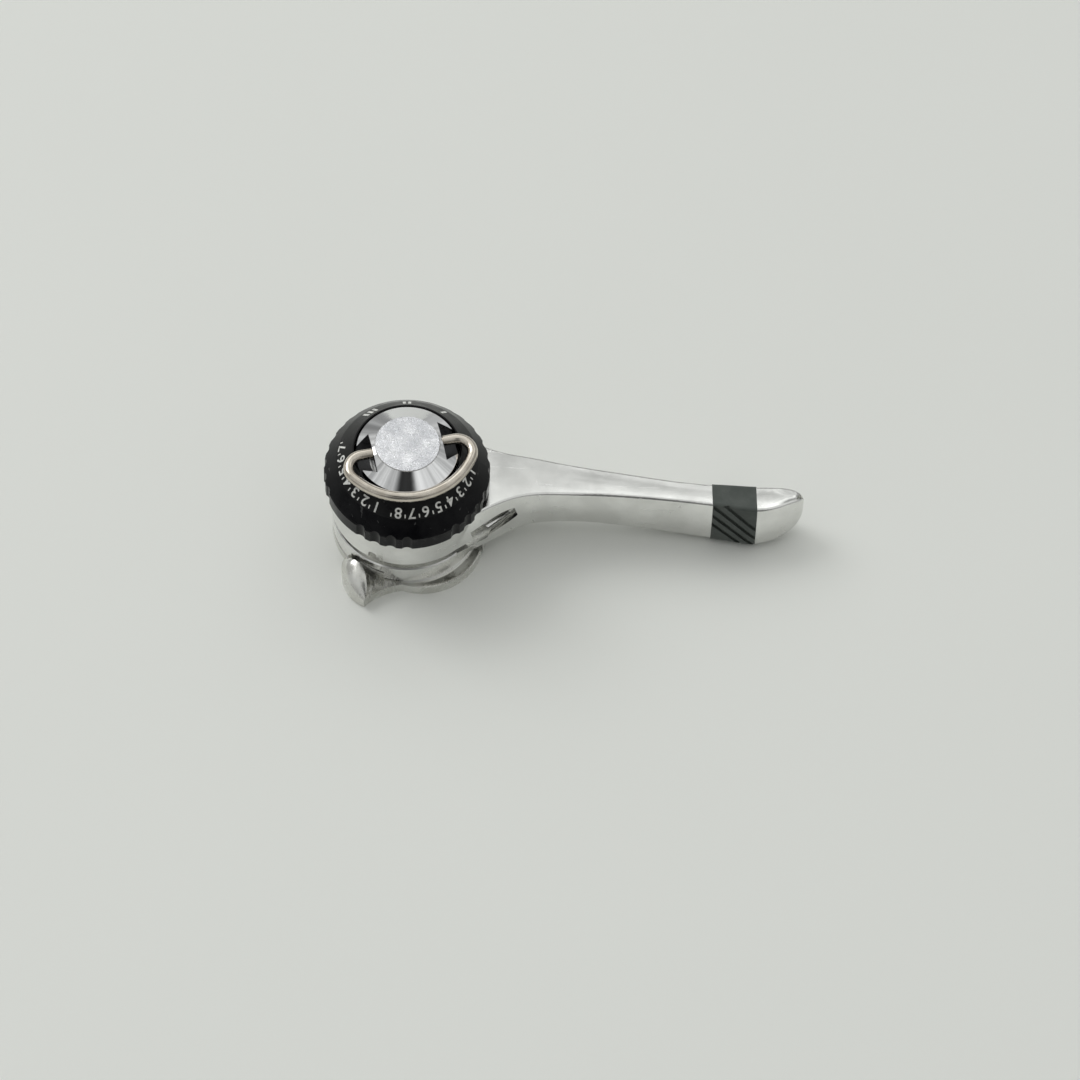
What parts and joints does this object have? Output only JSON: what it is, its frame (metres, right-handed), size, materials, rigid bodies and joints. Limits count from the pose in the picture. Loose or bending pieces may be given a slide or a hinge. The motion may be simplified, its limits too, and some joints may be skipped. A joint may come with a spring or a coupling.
{
  "type": "bicycle index gear lever",
  "caption": "Frame-boss gear lever with a cable drum, a turning index selector ring and a clamp screw with a folding D-shaped bail.",
  "frame": {"origin": "where the pivot axis meets the flat mounting face of the base plate", "axes": "+Z along the pivot axis away from the bicycle frame, +X along the lever at rest"},
  "size_m": [0.0775, 0.029, 0.0245],
  "materials": {
    "polished_alloy": "hand polished",
    "polished_plate": "polished, slightly worn",
    "turned_steel": "turned",
    "black_oxide": "hot blackened steel",
    "spring_steel": "ground",
    "bearing_steel": "polished",
    "head_chrome": "chromed, with a fine frosted top",
    "nickel_wire": "warm nickel",
    "black_anodised": "gloss black anodised",
    "grip_rubber": "satin",
    "nylon": "plain"
  },
  "bodies": {
    "base": {"base_plate": "polished_plate", "centre_sleeve": "turned_steel", "lower_friction_washer": "nylon", "index_disc_fine": "spring_steel", "disc_spacer": "turned_steel", "index_disc_wide": "spring_steel", "pressure_plate": "turned_steel", "disc_spring": "spring_steel", "upper_friction_washer": "nylon", "tension_collar": "turned_steel", "keyed_washer": "black_oxide"},
    "lever": {"lever_body": "polished_alloy", "lever_bush": "nylon", "grip_band": "grip_rubber", "detent_balls": "bearing_steel", "detent_springs": "spring_steel", "mode_ball": "bearing_steel", "mode_spring": "spring_steel", "ring_clip": "spring_steel"},
    "ring": {"index_ring": "black_anodised", "selector_plate": "spring_steel"},
    "screw": {"bolt": "head_chrome", "bolt_retainer": "spring_steel"},
    "bail": {"bail": "nickel_wire"}
  },
  "joints": [
    {"name": "lever_turn", "type": "hinge", "parent": "base", "child": "lever", "pos_m": [0, 0, 0.008], "axis": [0, 0, 1], "range_deg": [0, 115]},
    {"name": "ring_turn", "type": "hinge", "parent": "lever", "child": "ring", "pos_m": [0, 0, 0.0155], "axis": [0, 0, 1], "range_deg": [-36, 36]},
    {"name": "screw_turn", "type": "hinge", "parent": "base", "child": "screw", "pos_m": [0, 0, 0.0206], "axis": [0, 0, 1], "range_deg": [0, 180]},
    {"name": "bail_swing", "type": "hinge", "parent": "screw", "child": "bail", "pos_m": [0, 0, 0.0235], "axis": [-0.9789, -0.2045, 0], "range_deg": [0, 180]}
  ]
}
